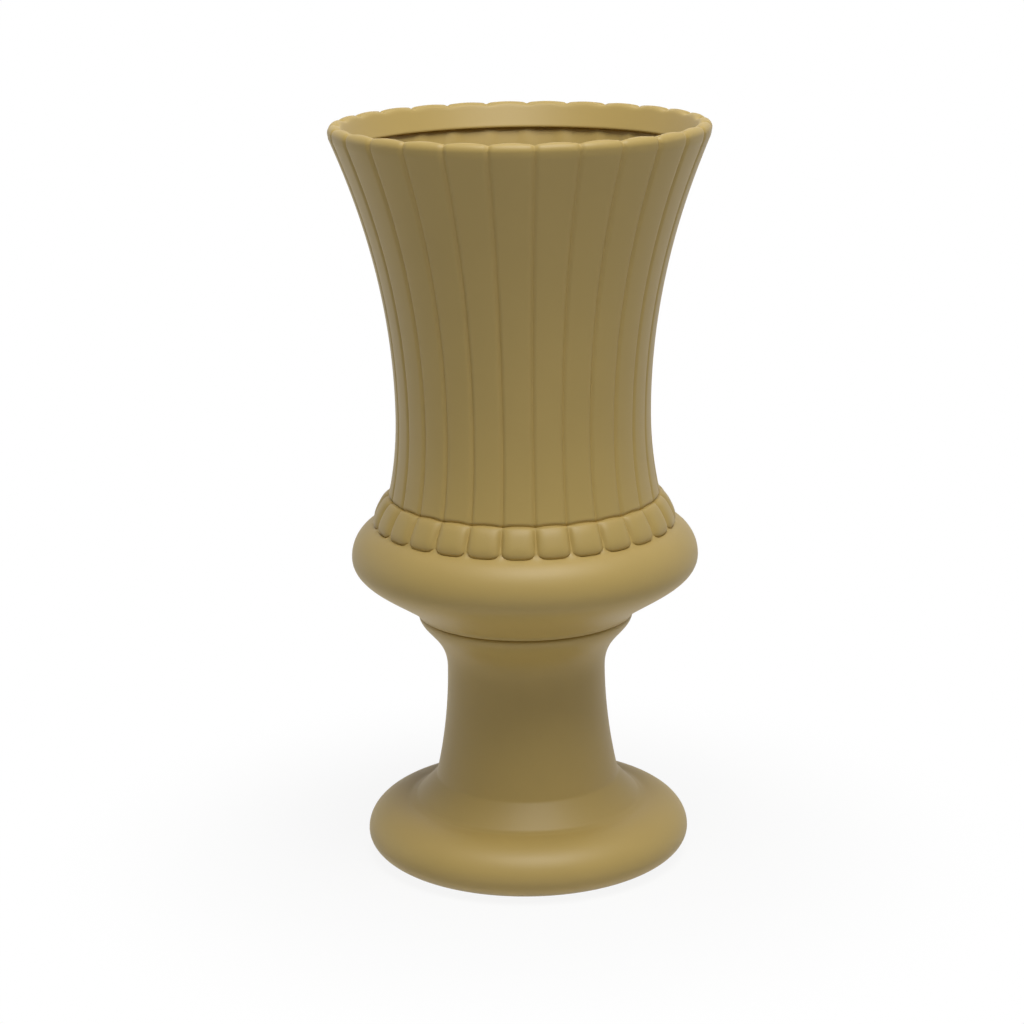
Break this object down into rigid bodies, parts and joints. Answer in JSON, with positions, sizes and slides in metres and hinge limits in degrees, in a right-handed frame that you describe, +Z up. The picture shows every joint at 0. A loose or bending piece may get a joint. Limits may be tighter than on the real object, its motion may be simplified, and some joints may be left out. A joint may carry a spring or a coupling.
{
  "type": "urn planter",
  "caption": "Tall fluted urn planter with a scalloped flared rim, a beaded round belly and a waisted pedestal on a rounded foot.",
  "frame": {"origin": "on the floor, on the urn's axis, at the undersides of the foot pads", "axes": "+Z up along the urn's axis; the middle of one flute faces -Y, +X is to the right seen from there"},
  "size_m": [0.298, 0.2978, 0.6],
  "materials": {
    "moulded_shell": "matte mustard tan",
    "plated_steel": "zinc plated",
    "black_rubber": "dull"
  },
  "bodies": {
    "urn": {"bowl": "moulded_shell", "pedestal": "moulded_shell", "seal_washer": "black_rubber", "head_washer": "plated_steel", "clamp_bolt": "plated_steel", "nut_washer": "plated_steel", "wing_nut": "plated_steel", "foot_pad_1": "black_rubber", "foot_pad_2": "black_rubber", "foot_pad_3": "black_rubber", "foot_pad_4": "black_rubber"},
    "plug_1": {"drain_plug_1": "black_rubber"},
    "plug_2": {"drain_plug_2": "black_rubber"},
    "plug_3": {"drain_plug_3": "black_rubber"}
  },
  "joints": [
    {"name": "plug_1_pull", "type": "slide", "parent": "urn", "child": "plug_1", "axis": [0, 0, 1], "range_m": [0, 0.05]},
    {"name": "plug_2_pull", "type": "slide", "parent": "urn", "child": "plug_2", "axis": [0, 0, 1], "range_m": [0, 0.05]},
    {"name": "plug_3_pull", "type": "slide", "parent": "urn", "child": "plug_3", "axis": [0, 0, 1], "range_m": [0, 0.05]}
  ]
}
